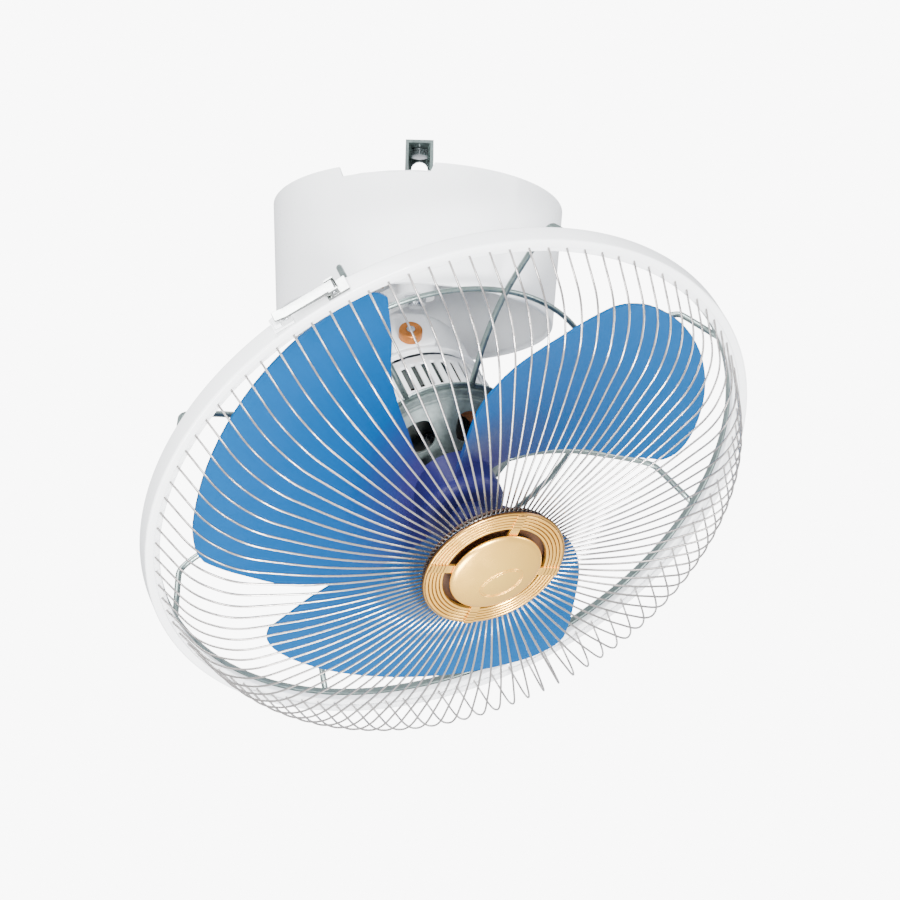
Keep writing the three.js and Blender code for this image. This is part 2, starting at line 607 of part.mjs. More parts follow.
// ribbed cap ring: concentric ribs broken by four flat bars that carry the disc
function capRing() {
  const top = CAP_T + 3.6;
  const ribs = [];
  const first = CAP_DISC_R + 3;
  const pitch = (CAP_R - 2.5 - first) / CAP_RIBS;
  for (let k = 0; k < CAP_RIBS; k += 1) {
    ribs.push([first + (k + 0.3) * pitch, top - 0.4 * k], [first + (k + 0.8) * pitch, top - 1.6 - 0.4 * k]);
  }
  const ring = lathe([
    [CAP_DISC_R + 1.8, CAP_T], [CAP_R, CAP_T], [CAP_R - 1.2, top - 3.6],
    ...ribs.reverse(), [CAP_DISC_R + 1.8, top - 0.6],
  ], 28);
  const bar = box(CAP_R - 20, 6.4, 2.2, [(CAP_R + 20) / 2 - 1.4, 0, top - 0.7]);
  const bars = stations(4, CAP_BAR_ANGLE).map((angle) => turned(bar, angle));
  return join(ring, ...bars, tube(CAP_SCREW_R + 0.4, 26, top - 1.8, top + 0.4, 20));
}

function capDisc() {
  const low = CAP_T + 3.6 + 0.4 + GAP;
  return lathe([
    [0, low], [CAP_DISC_R - 1, low], [CAP_DISC_R, low + 0.8], [CAP_DISC_R - 0.6, low + 2], [30, low + 3.2],
    [20, low + 4.8], [0, low + 5.8],
  ], 32);
}

const capPlate = () => lathe([
  [CAP_SCREW_R + 0.4, 168.3], [54, 168.3], [54, 170.1], [16, 170.1], [16, CAP_T + 1.5],
  [CAP_SCREW_R + 0.4, CAP_T + 1.5],
], 24);

const capScrew = () => lathe([
  [0, 165], [9, 165], [9, 168], [CAP_SCREW_R, 168], [CAP_SCREW_R, CAP_T + 4], [0, CAP_T + 4],
], 16);

// ---- latch on the hoop, drawn at angle zero with +X pointing out of the hoop ---------------------
const LATCH_PIN = { x: HOOP_R + 5.2, y: -13 };

function latchBase() {
  const middle = (HOOP_REAR + HOOP_FRONT) / 2;
  const plate = box(1.8, 17, 13, [HOOP_R + 1.3, LATCH_PIN.y - 2, middle]);
  const ears = [-5.6, 5.6].map((dz) => box(7, 7, 1.6, [HOOP_R + 4.6, LATCH_PIN.y, middle + dz]));
  const hole = rod(1.7, HOOP_REAR, HOOP_FRONT, 12).translate(LATCH_PIN.x, LATCH_PIN.y, 0);
  return cut(join(plate, ...ears), hole);
}

const latchPin = () => rod(1.4, HOOP_REAR + 1, HOOP_FRONT - 1, 12).translate(LATCH_PIN.x, LATCH_PIN.y, 0);

// lever lies along the hoop and lifts at its free end
function latchLever() {
  const middle = (HOOP_REAR + HOOP_FRONT) / 2;
  const heel = [[-2.6, -1.1], [-1.1, -2.6], [1.1, -2.6], [2.3, -1.4]];
  const outline = [...heel, [2.6, 38], [4.6, 46], [3.2, 46.6], [0.8, 40], [-0.6, 8], [-2.6, 3]];
  const body = prism(outline, middle - 4.4, middle + 4.4).translate(LATCH_PIN.x, LATCH_PIN.y, 0);
  const hole = rod(1.65, HOOP_REAR, HOOP_FRONT, 12).translate(LATCH_PIN.x, LATCH_PIN.y, 0);
  return cut(body, hole);
}

function latchKeeper() {
  const middle = (HOOP_REAR + HOOP_FRONT) / 2;
  const plate = box(1.8, 16, 13, [HOOP_R + 1.3, 30, middle]);
  const lug = box(3, 5, 9, [HOOP_R + 3.4, 33.5, middle]);
  const hole = crossRod(1.7, 12, "x", [HOOP_R + 1, 26, middle], 10);
  return cut(join(plate, lug), hole);
}

function latchScrew() {
  const middle = (HOOP_REAR + HOOP_FRONT) / 2;
  return lathe([[0, -1.9], [1.4, -1.9], [1.4, 0], [3, 0], [3, 1.1], [2.2, 1.8], [0, 1.8]], 10)
    .rotateY(Math.PI / 2).translate(HOOP_R + 2.5, 26, middle);
}

// ---- impeller -----------------------------------------------------------------------------------
// edges of one blade: angle of the leading and trailing edge by radius, and their place along the axis
const LEADING_ANGLE = [[28, 14], [60, 0], [90, -5.5], [120, -9.5], [150, -14], [180, -15.5], [213, -15.5]];
const TRAILING_ANGLE = [[28, 104], [60, 93], [103, 85], [133, 77], [166, 66], [187, 60.5], [213, 54]];
const LEADING_T = [[28, 88], [60, 74], [110, 67], [213, 65]];
const TRAILING_T = [[28, 110], [80, 114.5], [213, 110]];
const TIP_RADIUS = [
  [0, 190], [0.05, 200], [0.12, 206], [0.25, 210.5], [0.45, 213], [0.9, 213], [0.97, 209.5], [1, 203],
];

// a subdivided slab bent onto the blade surface: x runs root to tip, y runs leading to trailing edge
function blade() {
  const slab = new THREE.BoxGeometry(1, 1, 1, 5, 8, 1);
  const position = slab.getAttribute("position");
  for (let i = 0; i < position.count; i += 1) {
    const outward = position.getX(i) + 0.5;
    const chord = position.getY(i) + 0.5;
    const side = position.getZ(i);
    const r = THREE.MathUtils.lerp(HUB_R - 1.5, (along(TIP_RADIUS, chord) * BLADE_TIP_R) / 213, outward);
    const angle = THREE.MathUtils.lerp(along(LEADING_ANGLE, r), along(TRAILING_ANGLE, r), chord) * DEG;
    const camber = -4 * Math.sin(Math.PI * chord);
    const t = THREE.MathUtils.lerp(along(LEADING_T, r), along(TRAILING_T, r), chord) + camber;
    position.setXYZ(i, r * Math.cos(angle), r * Math.sin(angle), t + side * BLADE_THICKNESS);
  }
  return slab;
}

function bladeImpeller() {
  const hub = lathe([
    [SHAFT_R + 0.4, HUB_REAR + 6], [9, HUB_REAR + 6], [9, HUB_FRONT - 6], [HUB_R - 3, HUB_FRONT - 6],
    [HUB_R - 3, HUB_REAR], [HUB_R, HUB_REAR], [HUB_R, HUB_FRONT - 6], [26, HUB_FRONT],
    [SHAFT_R + 0.4, HUB_FRONT],
  ], 24);
  const blades = stations(BLADE_COUNT).map((angle) => turned(blade(), angle));
  return join(hub, ...blades);
}

const rotorCore = () => tube(SHAFT_R + GAP, 31.2, 9.5, 33, 24);

const motorShaft = () => lathe([
  [0, SHAFT_FROM], [SHAFT_R - 0.5, SHAFT_FROM], [SHAFT_R, SHAFT_FROM + 1], [SHAFT_R, SHAFT_TO - 1],
  [SHAFT_R - 0.8, SHAFT_TO], [0, SHAFT_TO],
], 16);

const spinnerNut = () => lathe([
  [SHAFT_R + GAP, HUB_FRONT + GAP], [14, HUB_FRONT + GAP], [14, HUB_FRONT + 6], [10, HUB_FRONT + 11],
  [0, HUB_FRONT + 13], [0, SHAFT_TO + GAP], [SHAFT_R + GAP, SHAFT_TO + GAP],
], 20);

// ---- assembly -----------------------------------------------------------------------------------
function ceilingUnit() {
  const group = new THREE.Group();
  group.add(
    piece("hanger_bracket", hangerBracket(), zincSteel),
    piece("hanger_bolt", hangerBolt(), steel),
    piece("support_plate", supportPlate(), zincSteel),
    piece("canopy", canopy(), whitePaint),
    piece("bearing_housing", bearingHousing(), castGrey),
    piece("spindle_bush_upper", spindleBush(-74, -62), brass),
    piece("spindle_bush_lower", spindleBush(-93, -81), brass),
    piece("terminal_block", terminalBlock(), blackPlastic),
    piece("run_capacitor", runCapacitor(), blackPlastic),
    piece("cable_grommet", cableGrommet(), blackPlastic),
  );
  CANOPY_SCREW_ANGLES.forEach((angle, i) => {
    group.add(piece(`canopy_screw_${i + 1}`, turned(canopyScrew(), angle * DEG), steel));
  });
  MOUNT_SCREWS.forEach(([x, y], i) => {
    group.add(piece(`mount_screw_${i + 1}`, mountScrew().translate(x, y, 0), steel));
  });
  const motor = piece("orbit_motor", orbitMotor(), zincSteel);
  const pinion = piece("drive_pinion", drivePinion(), brass);
  for (const mesh of [motor, pinion]) {
    mesh.position.set(centreDistance * Math.cos(ORBIT_MOTOR_ANGLE), centreDistance * Math.sin(ORBIT_MOTOR_ANGLE), 0);
    group.add(mesh);
  }
  return group;
}

function carrier() {
  const group = new THREE.Group();
  const arm = piece("carrier_arm", carrierArm(), castGrey);
  arm.rotation.z = LEAN_HEADING + Math.PI;
  group.add(
    piece("carrier_spindle", carrierSpindle(), steel),
    piece("carrier_nut", carrierNut(), steel),
    piece("arm_nut", armNut(), steel),
    piece("spindle_gear", spindleGear(), blackPlastic),
    arm,
  );
  return group;
}

function latch() {
  const group = new THREE.Group();
  group.rotation.z = LATCH_ANGLE;
  group.add(
    piece("latch_base", latchBase(), zincSteel),
    piece("latch_pin", latchPin(), steel),
    piece("latch_lever", latchLever(), zincSteel),
    piece("latch_keeper", latchKeeper(), whitePaint),
    piece("latch_screw", latchScrew(), steel),
  );
  return group;
}

function motorAssembly() {
  const group = new THREE.Group();
  group.add(
    piece("swivel_housing", swivelHousing(), whitePaint),
    piece("neck_bush", neckBush(), brass),
    piece("side_bush", sideBush(), brass),
    piece("side_bush_screw", sideBushScrew(), steel),
    piece("motor_rear_housing", motorRearHousing(), whitePaint),
    piece("motor_front_cover", motorFrontCover(), castGrey),
    piece("stator_core", statorCore(), coreSteel),
    piece("winding_rear", winding(-0.6, 9.2), copper),
    piece("winding_front", winding(33.3, 43), copper),
    piece("rear_bearing", bearing(-4, 4, 13.1), steel),
    piece("front_bearing", bearing(56.2, 63.6, 11.1), steel),
  );
  stations(4, 47 * DEG).forEach((angle, i) => {
    group.add(piece(`housing_screw_${i + 1}`, turned(housingScrew(), angle), steel));
  });
  return group;
}

function guardAssembly() {
  const group = new THREE.Group();
  group.add(
    piece("rear_guard", rearGuard(), zincSteel),
    piece("guard_hoop", guardHoop(), whitePaint),
    piece("front_guard", frontGuard(), creamWire),
    piece("cap_ring", capRing(), gold),
    piece("cap_disc", capDisc(), gold),
    piece("cap_plate", capPlate(), creamWire),
    piece("cap_screw", capScrew(), steel),
    latch(),
  );
  return group;
}

function impellerAssembly() {
  const group = new THREE.Group();
  group.add(
    piece("rotor_core", rotorCore(), coreSteel),
    piece("motor_shaft", motorShaft(), steel),
    piece("blade_impeller", bladeImpeller(), bladeBlue),
    piece("spinner_nut", spinnerNut(), steel),
  );
  return group;
}

// everything on the lean axis: +Z of this group points out of the front of the fan
function leaningGroup() {
  const group = new THREE.Group();
  group.position.z = -PIVOT_DROP;
  group.rotation.set(Math.PI - LEAN_FRONT, LEAN_SIDE, 0);
  group.add(
    piece("crank_pin", crankPin(), steel),
    piece("crank_retainer", crankRetainer(), steel),
    motorAssembly(),
    guardAssembly(),
    impellerAssembly(),
  );
  return group;
}

const fan = new THREE.Group();
fan.add(ceilingUnit(), carrier(), leaningGroup());

export default fan;
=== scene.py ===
# Looks of an orbital ceiling fan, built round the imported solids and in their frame.
# Shapes are worked out in millimetres; piece() scales them to metres.
import json
import math

import bmesh
import bpy
from mathutils import Matrix, Vector


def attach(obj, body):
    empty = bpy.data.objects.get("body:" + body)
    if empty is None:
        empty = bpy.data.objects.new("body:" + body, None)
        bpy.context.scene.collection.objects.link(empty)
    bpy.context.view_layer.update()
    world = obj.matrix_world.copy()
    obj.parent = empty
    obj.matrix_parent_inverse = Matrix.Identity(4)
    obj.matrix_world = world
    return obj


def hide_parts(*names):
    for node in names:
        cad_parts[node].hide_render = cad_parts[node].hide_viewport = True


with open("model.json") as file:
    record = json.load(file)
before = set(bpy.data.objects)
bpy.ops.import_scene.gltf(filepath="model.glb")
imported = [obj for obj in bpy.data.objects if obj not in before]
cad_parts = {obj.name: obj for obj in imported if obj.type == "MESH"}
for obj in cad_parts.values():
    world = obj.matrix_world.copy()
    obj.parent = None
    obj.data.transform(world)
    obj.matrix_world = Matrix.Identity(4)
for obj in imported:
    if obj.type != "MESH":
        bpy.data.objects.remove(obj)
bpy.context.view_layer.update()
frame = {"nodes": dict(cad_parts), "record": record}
nodes = frame["nodes"]

MM = 0.001
UPRIGHT = Matrix.Scale(MM, 4)
FAN_CENTRE = Vector((0, 0, -0.214))
HEAD = (
    Matrix.Translation(FAN_CENTRE)
    @ Matrix.Rotation(math.radians(150), 4, "X")
    @ Matrix.Rotation(math.radians(21.5), 4, "Y")
    @ Matrix.Scale(MM, 4)
)
FAN_AXIS = (HEAD.to_3x3() @ Vector((0, 0, 1))).normalized()
# Rings on the cap: how many, the inner radius of the first, and their spacing.
RIDGES, RIDGE_FIRST, RIDGE_PITCH = 5, 41.0, 2.8


# ---- materials ------------------------------------------------------------------------------------
GRAIN_DEPTH = 0.0002


def new_material(name, rough, metal=0.0, coat=0.0, specular=0.5):
    material = bpy.data.materials.new(name)
    material.use_nodes = True
    shader = material.node_tree.nodes["Principled BSDF"]
    shader.inputs["Roughness"].default_value = rough
    shader.inputs["Metallic"].default_value = metal
    shader.inputs["Coat Weight"].default_value = coat
    shader.inputs["Specular IOR Level"].default_value = specular
    return material, material.node_tree, shader


def link(tree, a, b):
    tree.links.new(a, b)


def noise_fac(tree, scale, detail=4.0):
    coords = tree.nodes.new("ShaderNodeTexCoord")
    texture = tree.nodes.new("ShaderNodeTexNoise")
    texture.inputs["Scale"].default_value = scale
    texture.inputs["Detail"].default_value = detail
    link(tree, coords.outputs["Object"], texture.inputs["Vector"])
    return texture.outputs["Fac"]


def ramp(tree, fac, stops):
    node = tree.nodes.new("ShaderNodeValToRGB")
    while len(node.color_ramp.elements) < len(stops):
        node.color_ramp.elements.new(0.5)
    for element, (place, colour) in zip(node.color_ramp.elements, stops):
        element.position = place
        element.color = (*colour, 1)
    link(tree, fac, node.inputs["Fac"])
    return node.outputs["Color"]


def value_range(tree, fac, low, high, start=0.3, stop=0.7):
    node = tree.nodes.new("ShaderNodeMapRange")
    node.inputs["From Min"].default_value = start
    node.inputs["From Max"].default_value = stop
    node.inputs["To Min"].default_value = low
    node.inputs["To Max"].default_value = high
    link(tree, fac, node.inputs["Value"])
    return node.outputs["Result"]


def bump(tree, shader, fac, strength, distance):
    node = tree.nodes.new("ShaderNodeBump")
    node.inputs["Strength"].default_value = strength
    node.inputs["Distance"].default_value = distance
    link(tree, fac, node.inputs["Height"])
    link(tree, node.outputs["Normal"], shader.inputs["Normal"])


def shade(colour, factor):
    return tuple(min(1.0, c * factor) for c in colour)


def surface(name, colour, rough, metal=0.0, coat=0.0, spread=0.14, patch=150, grain=900, relief=0.15):
    """A finish with slow colour patches, fine grain in its gloss and a slight relief."""
    material, tree, shader = new_material(name, rough, metal, coat)
    patches = noise_fac(tree, patch)
    stops = [(0.35, shade(colour, 1 - spread)), (0.65, shade(colour, 1 + spread))]
    link(tree, ramp(tree, patches, stops), shader.inputs["Base Color"])
    fine = noise_fac(tree, grain, 3.0)
    link(tree, value_range(tree, fine, rough * 0.8, min(1.0, rough * 1.25)), shader.inputs["Roughness"])
    bump(tree, shader, fine, relief, GRAIN_DEPTH)
    return material


white_paint = surface(
    "white_paint", (0.88, 0.89, 0.90), 0.32, coat=0.3, spread=0.015, patch=25, grain=600, relief=0.06)
cream_wire = surface(
    "cream_wire", (0.40, 0.375, 0.36), 0.22, metal=0.92, spread=0.05, patch=40, relief=0.05)
zinc_steel = surface("zinc_steel", (0.20, 0.25, 0.24), 0.32, metal=0.85, patch=120)
cast_grey = surface(
    "cast_grey", (0.10, 0.125, 0.122), 0.5, metal=0.3, spread=0.2, patch=160, grain=1400, relief=0.5)
brass = surface("brass", (0.46, 0.16, 0.035), 0.34, metal=0.8, patch=180, grain=1200)
steel = surface("steel", (0.52, 0.54, 0.56), 0.25, metal=0.95, spread=0.08, grain=1200)
chrome = surface(
    "chrome_clip", (0.42, 0.44, 0.43), 0.16, metal=1.0, spread=0.08, grain=600, relief=0.05)
black_plastic = surface(
    "black_plastic", (0.02, 0.021, 0.023), 0.55, spread=0.2, patch=80, grain=1500, relief=0.3)
copper = surface(
    "copper", (0.48, 0.19, 0.08), 0.35, metal=0.9, spread=0.2, patch=500, grain=2500, relief=0.6)
# Painted shadow: a dark brown that stands for the shade seen through the slots between the cap's rings and
# dome.
cap_slot_shadow = surface(
    "cap_slot_shadow", (0.055, 0.022, 0.008), 0.5, spread=0.2, patch=120, grain=1500, relief=0.3)
core_steel = surface(
    "core_steel", (0.03, 0.036, 0.034), 0.55, metal=0.2, spread=0.15, patch=300, grain=2500, relief=0.5)


def axis_distance(tree):
    """Distance of the shaded point from the fan's axis, in metres."""
    coords = tree.nodes.new("ShaderNodeTexCoord")
    offset = tree.nodes.new("ShaderNodeVectorMath")
    offset.operation = "SUBTRACT"
    offset.inputs[1].default_value = FAN_CENTRE
    link(tree, coords.outputs["Object"], offset.inputs[0])
    cross = tree.nodes.new("ShaderNodeVectorMath")
    cross.operation = "CROSS_PRODUCT"
    cross.inputs[1].default_value = FAN_AXIS
    link(tree, offset.outputs["Vector"], cross.inputs[0])
    length = tree.nodes.new("ShaderNodeVectorMath")
    length.operation = "LENGTH"
    link(tree, cross.outputs["Vector"], length.inputs[0])
    return length.outputs["Value"]


def colour_mix(tree, base):
    mix = tree.nodes.new("ShaderNodeMix")
    mix.data_type = "RGBA"
    link(tree, base, mix.inputs["A"])
    return mix


def blade_plastic():
    """Blue moulded plastic with painted shadow that darkens it towards the hub, under the cap, and faint
    mottling.
    """
    material, tree, shader = new_material("blade_blue", 0.36, specular=0.1)
    radius = value_range(tree, axis_distance(tree), 0.0, 1.0, 0.03, 0.205)
    # Painted shadow: the blue darkens from the tips towards the hub, standing in for the cap's shadow.
    hub_shadow, mid, tip = (0.012, 0.012, 0.07), (0.0, 0.040, 0.14), (0.0, 0.054, 0.165)
    base = ramp(tree, radius, [(0.06, hub_shadow), (0.36, mid), (1.0, tip)])
    mottle = ramp(tree, noise_fac(tree, 26, 5.0), [(0.3, (0.94, 0.94, 0.94)), (0.7, (1.0, 1.0, 1.0))])
    mix = colour_mix(tree, base)
    mix.blend_type = "MULTIPLY"
    mix.inputs["Factor"].default_value = 1.0
    link(tree, mottle, mix.inputs["B"])
    link(tree, mix.outputs["Result"], shader.inputs["Base Color"])
    fine = noise_fac(tree, 700, 2.0)
    link(tree, value_range(tree, fine, 0.32, 0.42), shader.inputs["Roughness"])
    bump(tree, shader, fine, 0.03, GRAIN_DEPTH)
    return material


def math_node(tree, operation, first, second=0.0):
    """A Math node of a socket and either a number or another socket."""
    node = tree.nodes.new("ShaderNodeMath")
    node.operation = operation
    link(tree, first, node.inputs[0])
    if isinstance(second, float):
        node.inputs[1].default_value = second
    else:
        link(tree, second, node.inputs[1])
    return node.outputs["Value"]


def champagne_gold():
    """Anodised gold, with painted shade at the cap's outer edge and in the grooves between its rings."""
    material, tree, shader = new_material("champagne_gold", 0.24, metal=0.85, coat=0.1)
    distance = axis_distance(tree)
    radius = value_range(tree, distance, 0.0, 1.0, 0.0, 0.0565)
    # Painted shade: the colour turns dark brown at the cap's outer edge.
    pale, warm, rim_shade = (1.0, 0.61, 0.11), (0.90, 0.48, 0.08), (0.07, 0.03, 0.008)
    base = ramp(tree, radius, [(0.0, pale), (0.972, warm), (0.99, rim_shade)])
    # Painted shade: a dark brown laid into the grooves between the rings, from the first ring outwards.
    beyond = math_node(tree, "SUBTRACT", distance, RIDGE_FIRST * MM)
    turns = math_node(tree, "DIVIDE", beyond, RIDGE_PITCH * MM)
    groove = value_range(tree, math_node(tree, "FRACT", turns), 0.0, 1.0, 0.66, 0.8)
    outside = value_range(tree, distance, 0.0, 1.0, 0.0406, 0.0410)
    mix = colour_mix(tree, base)
    link(tree, math_node(tree, "MULTIPLY", groove, outside), mix.inputs["Factor"])
    mix.inputs["B"].default_value = (0.16, 0.07, 0.02, 1)
    link(tree, mix.outputs["Result"], shader.inputs["Base Color"])
    haze = noise_fac(tree, 60, 3.0)
    link(tree, value_range(tree, haze, 0.2, 0.3), shader.inputs["Roughness"])
    return material


blade_blue = blade_plastic()
gold = champagne_gold()
SLOTS = {
    "white_paint": white_paint, "cream_wire": cream_wire, "zinc_steel": zinc_steel, "cast_grey": cast_grey,
    "blade_blue": blade_blue, "gold": gold, "brass": brass, "steel": steel,
    "black_plastic": black_plastic, "copper": copper, "core_steel": core_steel,
}


# ---- geometry helpers, in millimetres; a shape is (points, faces) -----------------------------------
def merge(*shapes):
    points, faces = [], []
    for more_points, more_faces in shapes:
        base = len(points)
        points += more_points
        faces += [[base + i for i in face] for face in more_faces]
    return points, faces


def turned(shape, angle):
    turn = Matrix.Rotation(angle, 3, "Z")
    return [turn @ Vector(p) for p in shape[0]], shape[1]


def moved(shape, matrix):
    return [matrix @ Vector(p) for p in shape[0]], shape[1]


def rounded(points, sizes, steps, closed=False):
    """A path whose corners are cut back by the given sizes and bridged by smooth bends."""
    count = len(points)
    flat = [Vector(p) for p in points]
    out = []
    for i, corner in enumerate(flat):
        size = sizes if isinstance(sizes, (int, float)) else sizes[i]
        if size <= 0 or (not closed and i in (0, count - 1)):
            out.append(tuple(corner))
            continue
        before, after = flat[i - 1] - corner, flat[(i + 1) % count] - corner
        start = corner + before.normalized() * min(size, before.length * 0.45)
        end = corner + after.normalized() * min(size, after.length * 0.45)
        for k in range(steps + 1):
            s = k / steps
            out.append(tuple(start * (1 - s) ** 2 + corner * 2 * s * (1 - s) + end * s * s))
    return out


def lathe(profile, segments, closed=True):
    """A (radius, height) profile turned about the axis."""
    points, faces = [], []
    rows = len(profile)
    for j in range(segments):
        angle = 2 * math.pi * j / segments
        points += [(r * math.cos(angle), r * math.sin(angle), z) for r, z in profile]
    for j in range(segments):
        here, there = j * rows, ((j + 1) % segments) * rows
        for i in range(rows if closed else rows - 1):
            k = (i + 1) % rows
            faces.append([here + i, there + i, there + k, here + k])
    return points, faces


def swept(path, radius, sides, closed=False):
    """A round bar along 3-D points, with flat ends unless it is closed."""
    path = [Vector(p) for p in path]
    count = len(path)
    points, faces = [], []
    side = None
    for i, here in enumerate(path):
        if closed:
            tangent = (path[(i + 1) % count] - path[i - 1]).normalized()
        else:
            tangent = (path[min(i + 1, count - 1)] - path[max(i - 1, 0)]).normalized()
        if side is None:
            reference = Vector((0, 0, 1)) if abs(tangent.z) < 0.9 else Vector((1, 0, 0))
            side = reference.cross(tangent).normalized()
        side = (side - tangent * side.dot(tangent)).normalized()
        other = tangent.cross(side)
        for k in range(sides):
            angle = 2 * math.pi * k / sides
            points.append(here + (side * math.cos(angle) + other * math.sin(angle)) * radius)
    for i in range(count if closed else count - 1):
        here, there = i * sides, ((i + 1) % count) * sides
        for k in range(sides):
            n = (k + 1) % sides
            faces.append([here + k, here + n, there + n, there + k])
    if not closed:
        faces.append(list(range(sides))[::-1])
        faces.append([(count - 1) * sides + k for k in range(sides)])
    return points, faces


def radial(profile):
    return [(r, 0, z) for r, z in profile]


def ring_path(radius, height, count):
    return [
        (radius * math.cos(2 * math.pi * k / count), radius * math.sin(2 * math.pi * k / count), height)
        for k in range(count)
    ]


def block(low, high):
    (x0, y0, z0), (x1, y1, z1) = low, high
    points = [(x, y, z) for x in (x0, x1) for y in (y0, y1) for z in (z0, z1)]
    faces = [[0, 1, 3, 2], [4, 6, 7, 5], [0, 4, 5, 1], [2, 3, 7, 6], [0, 2, 6, 4], [1, 5, 7, 3]]
    return points, faces


def along(table, x):
    """Smooth reading of a table of (input, output) rows."""
    x = min(max(x, table[0][0]), table[-1][0])
    i = 0
    while i < len(table) - 2 and x > table[i + 1][0]:
        i += 1

    def slope(k):
        a, b = table[max(k - 1, 0)], table[min(k + 1, len(table) - 1)]
        return (b[1] - a[1]) / (b[0] - a[0])

    (x0, y0), (x1, y1) = table[i], table[i + 1]
    width = x1 - x0
    s = (x - x0) / width
    return (
        y0 * (1 + 2 * s) * (1 - s) ** 2 + slope(i) * width * s * (1 - s) ** 2
        + y1 * s * s * (3 - 2 * s) + slope(i + 1) * width * s * s * (s - 1)
    )


BEVEL_STEPS, BEVEL_ANGLE = 2, math.radians(35)
POINT_WELD, NODE_WELD = 1e-7, 2e-6


def bevelled(made_object, width):
    bevel = made_object.modifiers.new("bevel", "BEVEL")
    bevel.width = width * MM
    bevel.segments = BEVEL_STEPS
    bevel.limit_method = "ANGLE"
    bevel.angle_limit = BEVEL_ANGLE
    bevel.harden_normals = False
    weighted = made_object.modifiers.new("weighted", "WEIGHTED_NORMAL")
    weighted.keep_sharp = True


def piece(name, shape, where, material, body, replaced=(), bevel=0.0, thick=0.0):
    """A mesh from a shape in millimetres, riding on a body."""
    bm = bmesh.new()
    made = [bm.verts.new(where @ Vector(p)) for p in shape[0]]
    for face in shape[1]:
        bm.faces.new([made[i] for i in face])
    bmesh.ops.remove_doubles(bm, verts=bm.verts, dist=POINT_WELD)
    bmesh.ops.recalc_face_normals(bm, faces=bm.faces)
    mesh = bpy.data.meshes.new(name)
    bm.to_mesh(mesh)
    bm.free()
    for polygon in mesh.polygons:
        polygon.use_smooth = True
    mesh.materials.append(material)
    made_object = bpy.data.objects.new(name, mesh)
    bpy.context.scene.collection.objects.link(made_object)
    if thick:
        solid = made_object.modifiers.new("thickness", "SOLIDIFY")
        solid.thickness = thick * MM
        solid.offset = -1
    if bevel:
        bevelled(made_object, bevel)
    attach(made_object, body)
    if replaced:
        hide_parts(*replaced)


# ---- camera, light and floor ------------------------------------------------------------------------
CAMERA_PLACE = (0.03009, -2.41262, -0.86991)
CAMERA_PITCH, CAMERA_ROLL = 0.25304, 0.02625
FOCAL_PIXELS, IMAGE_PIXELS, SENSOR_MM = 3234.2, 900, 36


def make_camera():
    data = bpy.data.cameras.new("camera")
    camera = bpy.data.objects.new("camera", data)
    bpy.context.scene.collection.objects.link(camera)
    level = Vector((1, 0, 0))
    up = Vector((0, -math.sin(CAMERA_PITCH), math.cos(CAMERA_PITCH)))
    forward = Vector((0, math.cos(CAMERA_PITCH), math.sin(CAMERA_PITCH)))
    right = level * math.cos(CAMERA_ROLL) + up * math.sin(CAMERA_ROLL)
    top = up * math.cos(CAMERA_ROLL) - level * math.sin(CAMERA_ROLL)
    turn = Matrix((right, top, -forward)).transposed()
    camera.matrix_world = Matrix.Translation(CAMERA_PLACE) @ turn.to_4x4()
    data.sensor_width = SENSOR_MM
    data.lens = SENSOR_MM * FOCAL_PIXELS / IMAGE_PIXELS
    data.clip_end = 60
    bpy.context.scene.camera = camera


LIGHT_AIM = Vector((0.05, -0.05, -0.25))
STUDIO_STRENGTH, BACKDROP_STRENGTH = 1.25, 9.0
FLOOR_HALF, FLOOR_HEIGHT = 7.0, -2.6


def area_light(name, place, size, power):
    data = bpy.data.lights.new(name, "AREA")
    data.shape = "DISK"
    data.size = size
    data.energy = power
    light = bpy.data.objects.new(name, data)
    bpy.context.scene.collection.objects.link(light)
    light.location = place
    light.rotation_euler = (LIGHT_AIM - Vector(place)).to_track_quat("-Z", "Y").to_euler()


def make_floor():
    mesh = bpy.data.meshes.new("floor")
    signs = [(-1, -1), (1, -1), (1, 1), (-1, 1)]
    corners = [(x * FLOOR_HALF, y * FLOOR_HALF, FLOOR_HEIGHT) for x, y in signs]
    mesh.from_pydata(corners, [], [(0, 1, 2, 3)])
    floor = bpy.data.objects.new("floor", mesh)
    bpy.context.scene.collection.objects.link(floor)
    material, tree, shader = new_material("floor_paint", 0.8)
    stops = [(0.3, (0.80, 0.80, 0.80)), (0.7, (0.84, 0.84, 0.84))]
    link(tree, ramp(tree, noise_fac(tree, 4), stops), shader.inputs["Base Color"])
    mesh.materials.append(material)


def make_studio():
    world = bpy.data.worlds.new("studio")
    world.use_nodes = True
    tree = world.node_tree
    studio = tree.nodes["Background"]
    studio.inputs["Color"].default_value = (0.93, 0.96, 1.0, 1)
    studio.inputs["Strength"].default_value = STUDIO_STRENGTH
    backdrop = tree.nodes.new("ShaderNodeBackground")
    backdrop.inputs["Color"].default_value = (1.0, 1.0, 1.0, 1)
    backdrop.inputs["Strength"].default_value = BACKDROP_STRENGTH
    seen = tree.nodes.new("ShaderNodeLightPath")
    mix = tree.nodes.new("ShaderNodeMixShader")
    link(tree, seen.outputs["Is Camera Ray"], mix.inputs["Fac"])
    link(tree, studio.outputs["Background"], mix.inputs[1])
    link(tree, backdrop.outputs["Background"], mix.inputs[2])
    link(tree, mix.outputs["Shader"], tree.nodes["World Output"].inputs["Surface"])
    bpy.context.scene.world = world
    area_light("key", (0.7, -2.1, -1.5), 0.7, 190)
    area_light("front", (-0.9, -2.3, -0.7), 0.8, 80)
    area_light("below", (0.1, -0.5, -2.3), 0.9, 60)
    area_light("overhead", (-0.9, -1.2, 1.3), 1.2, 80)
    area_light("side", (2.2, -0.6, 0.1), 1.0, 40)


